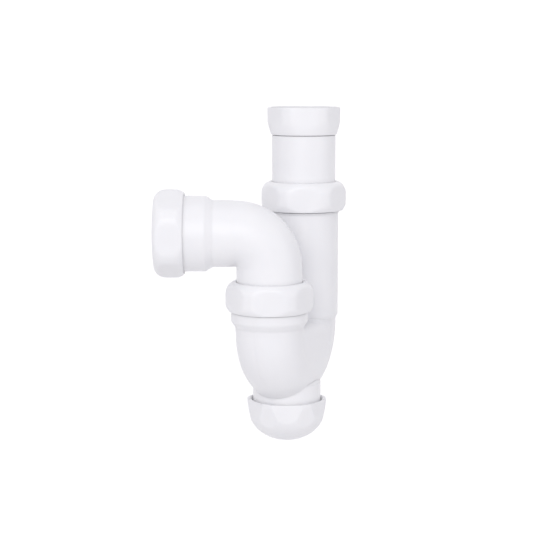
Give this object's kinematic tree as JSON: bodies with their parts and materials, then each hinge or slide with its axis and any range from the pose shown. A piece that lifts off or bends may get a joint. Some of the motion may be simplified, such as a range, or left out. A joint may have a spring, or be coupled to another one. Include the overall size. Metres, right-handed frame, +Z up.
{
  "type": "sink trap",
  "caption": "Curved sink trap: union nut and telescopic inlet tube, U bend with screw cleanout cap, and a swivelling elbow with compression nuts.",
  "frame": {"origin": "centre of the inlet nut's open mouth, on the inlet axis", "axes": "+Z up along the inlet, out of the nut's mouth; -X along the outlet, out of the elbow's socket"},
  "size_m": [0.1176, 0.1045, 0.2073],
  "materials": {
    "white_plastic": "glossy moulded polypropylene",
    "seal_rubber": "matt moulded rubber"
  },
  "bodies": {
    "union_nut": {"inlet_nut": "white_plastic"},
    "inlet_pipe": {"inlet_tube": "white_plastic", "inlet_washer": "seal_rubber"},
    "trap": {"trap_body": "white_plastic"},
    "inlet_seal": {"inlet_leg_seal": "seal_rubber"},
    "inlet_clamp": {"inlet_leg_nut": "white_plastic"},
    "elbow": {"outlet_elbow": "white_plastic"},
    "elbow_seal": {"outlet_leg_seal": "seal_rubber"},
    "elbow_clamp": {"outlet_leg_nut": "white_plastic"},
    "pipe_seal": {"outlet_seal": "seal_rubber"},
    "pipe_clamp": {"outlet_nut": "white_plastic"},
    "gasket": {"cleanout_gasket": "seal_rubber"},
    "cap": {"cleanout_cap": "white_plastic"}
  },
  "joints": [
    {"name": "inlet_swivel", "type": "hinge", "parent": "union_nut", "child": "inlet_pipe", "pos_m": [0, 0, 0], "axis": [0, 0, 1], "continuous": true},
    {"name": "height_slide", "type": "slide", "parent": "inlet_pipe", "child": "trap", "axis": [0, 0, 1], "range_m": [-0.022, 0.012]},
    {"name": "inlet_seal_slide", "type": "slide", "parent": "trap", "child": "inlet_seal", "axis": [0, 0, 1], "range_m": [0, 0.0121]},
    {"name": "inlet_nut_turn", "type": "hinge", "parent": "inlet_seal", "child": "inlet_clamp", "pos_m": [0, 0, -0.0556], "axis": [0, 0, 1], "range_deg": [0, 1440]},
    {"name": "elbow_swivel", "type": "hinge", "parent": "trap", "child": "elbow", "pos_m": [-0.02148, -0.04802, -0.1], "axis": [0, 0, 1], "range_deg": [-35, 165]},
    {"name": "elbow_seal_slide", "type": "slide", "parent": "trap", "child": "elbow_seal", "axis": [0, 0, 1], "range_m": [0, 0.0076]},
    {"name": "elbow_nut_turn", "type": "hinge", "parent": "elbow_seal", "child": "elbow_clamp", "pos_m": [-0.02148, -0.04802, -0.1126], "axis": [0, 0, 1], "range_deg": [0, 900]},
    {"name": "pipe_seal_slide", "type": "slide", "parent": "elbow", "child": "pipe_seal", "axis": [-1, 0, 0], "range_m": [0, 0.0121]},
    {"name": "pipe_nut_turn", "type": "hinge", "parent": "pipe_seal", "child": "pipe_clamp", "pos_m": [-0.0818, -0.04802, -0.0745], "axis": [-1, 0, 0], "range_deg": [0, 1440]},
    {"name": "gasket_slide", "type": "slide", "parent": "trap", "child": "gasket", "axis": [0, 0, -1], "range_m": [0, 0.0121]},
    {"name": "cap_turn", "type": "hinge", "parent": "gasket", "child": "cap", "pos_m": [-0.01074, -0.02401, -0.19], "axis": [0, 0, -1], "range_deg": [0, 1440]}
  ],
  "couplings": [
    {"joint": "inlet_seal_slide", "follows": "inlet_nut_turn", "m_per_rad": 0.00047746},
    {"joint": "elbow_seal_slide", "follows": "elbow_nut_turn", "m_per_rad": 0.00047746},
    {"joint": "pipe_seal_slide", "follows": "pipe_nut_turn", "m_per_rad": 0.00047746},
    {"joint": "gasket_slide", "follows": "cap_turn", "m_per_rad": 0.00047746}
  ]
}
